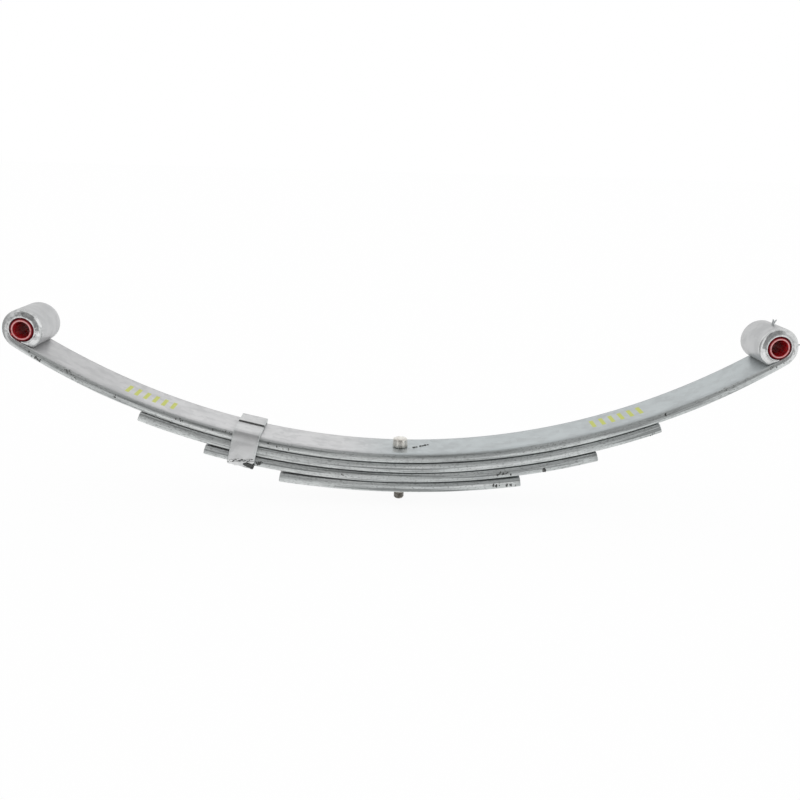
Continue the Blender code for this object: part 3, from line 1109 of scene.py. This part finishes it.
bolt = {
    "head": 0.0068,
    "headTop": 0.0082,
    "headSeat": 0.0003,
    "headRound": 0.0012,
    "headTaper": 0.0005,
    "headRows": ((0.3, 0.59), (0.65, 0.345)),  # down its side: of the taper, and of the height
    "footRound": 0.0004,
    "crown": 0.0004,
    "crownSteps": 5,
    "shank": 0.0046,
    "threadFrom": -0.030,
    "end": -0.0494,
    "endTaper": 0.0012,
    "endSlope": 0.9,
    "endRim": 0.0003,
    "threadPitch": 0.00106,
    "threadDepth": 0.00050,
    "threadSteps": 8,
    "plainTop": 0.0002,  # no thread this near to its start and to the bolt's end
    "plainEnd": 0.0001,
}


def centerBolt():
    # painted shade round the rim of the head's crown and at its foot on the leaf; the thread's end is its
    # own dark bare steel
    clean, rubbedAndShade, foot, dark = (0, 0, 0), (1, 0.25, 0), (0, 0.35, 0), (0.5, 0.85, 0)
    headTop, seat, shank = bolt["headTop"], bolt["headSeat"], bolt["shank"]
    size, low, crown = bolt["headRound"], bolt["footRound"], bolt["crown"]
    start, end = bolt["threadFrom"], bolt["end"]
    narrow = bolt["head"] - bolt["headTaper"]
    flat = narrow - size
    profile = [(0, headTop, clean)]
    for i in range(1, bolt["crownSteps"]):
        share = i / bolt["crownSteps"]
        profile.append((flat * share, headTop - crown * share**2, clean))
    profile += rounded(flat, headTop - size - crown, size, 90, rubbedAndShade)
    for out, up in bolt["headRows"]:
        profile.append((narrow + bolt["headTaper"] * out, headTop * up, clean))
    profile += rounded(bolt["head"] - low, seat + low, low, 0, foot, 3)
    profile += [(shank, seat, clean), (shank, start, clean)]
    steps = round((start - end) / (bolt["threadPitch"] / bolt["threadSteps"]))
    for i in range(1, steps):
        height = start + (end - start) * i / steps
        taper = max(0, bolt["endTaper"] - (height - end))
        profile.append((shank - bolt["endSlope"] * taper, height, dark))
    rim = shank - bolt["endSlope"] * bolt["endTaper"] - bolt["endRim"]
    profile += [(rim, end, dark), (0, end, dark)]
    piece = lathe("centerBolt", profile, finishes["bolt"], 64, 50)
    # the thread is a groove that winds down the shank
    for vertex in piece.data.vertices:
        x, y, z = vertex.co
        if z > start - bolt["plainTop"] or z < end + bolt["plainEnd"]:
            continue
        reach = math.hypot(x, y)
        phase = (z / bolt["threadPitch"] + math.atan2(y, x) / (2 * math.pi)) % 1
        keep = 1 - bolt["threadDepth"] * (1 - abs(2 * phase - 1)) / reach
        vertex.co.x *= keep
        vertex.co.y *= keep
    return piece


nut = {
    "flats": 0.0127,
    "top": -0.0358,
    "height": 0.0068,
    "bore": 0.0047,
    "face": 0.97,  # width of the turned faces, of the flats
    "chamfer": math.radians(30),
    "rows": 12,
    "segments": 72,
}


def centerNut():
    # a hexagon with its corners turned off above and below, and a hole
    flat, top, tall, worn = nut["flats"] / 2, nut["top"], nut["height"], (0.3, 0.6, 0)
    sixth = math.pi / 3
    hexagon = []
    for i in range(nut["segments"]):
        turn = 2 * math.pi * i / nut["segments"]
        hexagon.append(flat / math.cos((turn + sixth / 2) % sixth - sixth / 2))
    rings = []
    for i in range(nut["rows"] + 1):
        down = tall * i / nut["rows"]
        limit = flat * nut["face"] + min(down, tall - down) / math.tan(nut["chamfer"])
        rings.append(around([min(reach, limit) for reach in hexagon], top - down, worn))
    for down in (tall, 0):
        rings.append(around([nut["bore"]] * nut["segments"], top - down, worn))
    return loft("centerNut", rings, finishes["bolt"], 25, "joined")


for piece, node in ((centerBolt(), "center_bolt"), (centerNut(), "center_nut")):
    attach(piece, "leaf_pack")
    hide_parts(node)
print("centre bolt made")


# bushes

bush = {
    "bore": 0.00715,
    "rim": 0.00845,
    "radius": 0.00955,
    "length": 0.0445,
    "step": 0.0007,  # the rim stands this far out of the shoulder
    "shoulder": 0.0012,
    "shoulderRound": 0.0003,
    "shoulderSlope": 0.0002,
    "rimSlope": 0.0001,
    "lip": 0.00028,
    "lipSteps": 4,
    "rows": (0.5, 0.85, 0.97),  # in the bore, of half the length
    "flash": ((-0.0084, -0.0036), (0.0014, 0.0010, 0.0007)),  # a scrap of plastic beside the left rim
}


def eyeBush(name, side):
    plain, worn, rubbedAndShade, deep = (0, 0, 0), (1, 0, 0), (0.45, 0, 0), (0, 0.8, 0)
    bore, rim, radius = bush["bore"], bush["rim"], bush["radius"]
    end, lip, steps = bush["length"] / 2, bush["lip"], bush["lipSteps"]
    foot = end - bush["step"]
    half = [(bore, share * end, plain) for share in bush["rows"]]
    half += rounded(bore + lip, end - lip, lip, 180, rubbedAndShade, steps)
    half += [((bore + rim) / 2, end, worn)]
    half += rounded(rim - lip, end - lip, lip, 90, rubbedAndShade, steps)
    # painted shade on the recessed shoulder outside the rim
    half += [(rim + bush["rimSlope"], foot, deep)]
    half += [(radius - bush["shoulderRound"], foot - bush["shoulderSlope"], deep)]
    half += [(radius, end - bush["shoulder"], deep), (radius, end / 2, deep)]
    profile = [(bore, 0, plain)] + half
    profile += [(out, -height, wear) for out, height, wear in reversed(half)]
    piece = lathe(name, profile, finishes["bush"], 72, 50)
    place = Matrix.Translation((side * eye["x"], 0, eye["z"]))
    piece.data.transform(place @ Matrix.Rotation(math.pi / 2, 4, "X"))
    return piece


for half, side in (("left", -1), ("right", 1)):
    piece = eyeBush(half + "Bush", side)
    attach(piece, half + "_end")
    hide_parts(half + "_bush")
(flashX, flashZ), flashSize = bush["flash"]
flashSpot = (flashX - eye["x"], -bush["length"] / 2 + bush["step"], eye["z"] + flashZ)
piece = lumps("bushFlash", [(flashSpot, (0, -1, 0), flashSize)], finishes["bush"], (0.15, 0, 0))
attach(piece, "left_end")
print("bushes made")

# spurs of zinc that ran off the right-hand eye: each a path of (place, radius) from root to point
spurs = {
    "top": [
        ((0.3204, -0.0035, 0.1195), 0.0013), ((0.3203, -0.0034, 0.1216), 0.0010),
        ((0.3202, -0.0033, 0.1232), 0.0008), ((0.3200, -0.0032, 0.1248), 0.0004),
    ],
    "fork": [
        ((0.3206, -0.0034, 0.1212), 0.0008), ((0.3213, -0.0036, 0.1226), 0.0007),
        ((0.3221, -0.0038, 0.1237), 0.0006), ((0.3226, -0.0039, 0.1247), 0.0003),
    ],
    "rim": [
        ((0.3369, -0.0195, 0.1060), 0.0008), ((0.3380, -0.0200, 0.1063), 0.0006),
        ((0.3388, -0.0202, 0.1063), 0.0003),
    ],
}
spurSkin = {
    "segments": 12,
    "swell": 0.35,
    "knobs": (0.9, 1.7),
    "wear": (0.1, 0, 0.3),
}


def spur(name, path):
    points = [Vector(point) for point, size in path]
    segments, (sideways, onward) = spurSkin["segments"], spurSkin["knobs"]
    rings = []
    for i, (point, size) in enumerate(path):
        ahead = points[min(i + 1, len(points) - 1)] - points[max(i - 1, 0)]
        turn = ahead.to_track_quat("Z", "X").to_matrix()
        ring = []
        for k in range(segments):
            angle = 2 * math.pi * k / segments
            swell = size * (1 + spurSkin["swell"] * noise.noise(Vector((k * sideways, i * onward, 4))))
            spot = points[i] + turn @ Vector((swell * math.cos(angle), swell * math.sin(angle), 0))
            ring.append((spot, tuple(spot), spurSkin["wear"]))
        rings.append(ring)
    piece = loft(name, rings, finishes["clip"])
    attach(piece, "right_end")


for which, path in spurs.items():
    spur(which + "Spur", path)
print("zinc spurs made")


# studio

studio = {
    "floor": -0.0496,
    "reach": 30.0,
    "white": (1, 1, 1, 1),
    "table": (0.95, 0.95, 0.95, 1),
    "glow": 0.93,  # share of the floor that is plain white, the rest takes the shadow
    # the dark side of the room: how far it comes round, and up from the table
    "dark": 0.24,
    "darkFront": (0.33, 0.62),
    "darkSide": (0.66, 0.36),
    "darkMiddle": (0.0, 0.22, 0.78, 1.0),  # less dark straight ahead
    "darkLow": (-0.30, -0.12),
    "overhead": (0.3, 0.9, 1.0, 0.80),
    "leftSide": (-0.98, -0.65, 0.38, 1.0),
}


def studioFloor():
    mesh = bpy.data.meshes.new("studioFloor")
    reach = studio["reach"]
    corners = [(-reach, -reach, 0), (reach, -reach, 0), (reach, reach, 0), (-reach, reach, 0)]
    mesh.from_pydata(corners, [], [(0, 1, 2, 3)])
    piece = bpy.data.objects.new("studioFloor", mesh)
    piece.location.z = studio["floor"]
    piece.visible_glossy = False
    bpy.context.scene.collection.objects.link(piece)
    finish, surface = newFinish("studioWhite")
    matt = put(surface, "BsdfDiffuse", {"Color": studio["table"]})[0]
    glow = put(surface, "Emission", {"Color": studio["white"]})[0]
    rays = put(surface, "LightPath", {})
    seen = sums("MAXIMUM", rays["Is Camera Ray"], rays["Is Transmission Ray"])
    white = put(surface, "MixShader", {0: times(seen, studio["glow"]), 1: matt, 2: glow})
    link(white[0], surface)
    mesh.materials.append(finish)


def studioWorld():
    # white all round, with the dark side of the room in what the metal reflects
    world = bpy.data.worlds.new("studioWorld")
    bpy.context.scene.world = world
    surface = emptyTree(world, "OutputWorld")
    x, y, z = parts(put(surface, "TexCoord", {})["Generated"])
    aside = sums("ABSOLUTE", x)
    dark = ease(times(y, -1.0), *studio["darkFront"])
    dark = times(dark, ease(aside, *studio["darkSide"]), ease(aside, *studio["darkMiddle"]))
    dark = times(dark, ease(z, *studio["darkLow"]))
    room = ease(dark, 0.0, 1.0, 1.0, studio["dark"])
    room = times(room, ease(z, *studio["overhead"]), ease(x, *studio["leftSide"]))
    rays = put(surface, "LightPath", {})
    plain = sums("MAXIMUM", rays["Is Camera Ray"], rays["Is Diffuse Ray"])
    strength = sums("MAXIMUM", room, plain)
    sky = put(surface, "Background", {"Color": studio["white"], "Strength": strength})
    link(sky[0], surface)


view = {
    "place": (-0.01469, -0.71039, 0.24601),
    "yaw": 0.018933,
    "pitch": 0.277705,
    "roll": 0.02822,
    "lens": 37.37,
    "film": 36,
    "near": 0.01,
}


def studioCamera():
    lens = bpy.data.cameras.new("studioCamera")
    lens.sensor_width = view["film"]
    lens.lens = view["lens"]
    lens.clip_start = view["near"]
    camera = bpy.data.objects.new("studioCamera", lens)
    bpy.context.scene.collection.objects.link(camera)
    # level and facing along Y first, then rolled, tipped down and turned to the right
    turn = Matrix.Rotation(-view["yaw"], 4, "Z") @ Matrix.Rotation(math.pi / 2 - view["pitch"], 4, "X")
    turn = turn @ Matrix.Rotation(view["roll"], 4, "Z")
    camera.matrix_world = Matrix.Translation(view["place"]) @ turn
    bpy.context.scene.camera = camera


studioFloor()
studioWorld()
studioCamera()
bpy.context.scene.view_settings.view_transform = "Standard"
print("studio made")
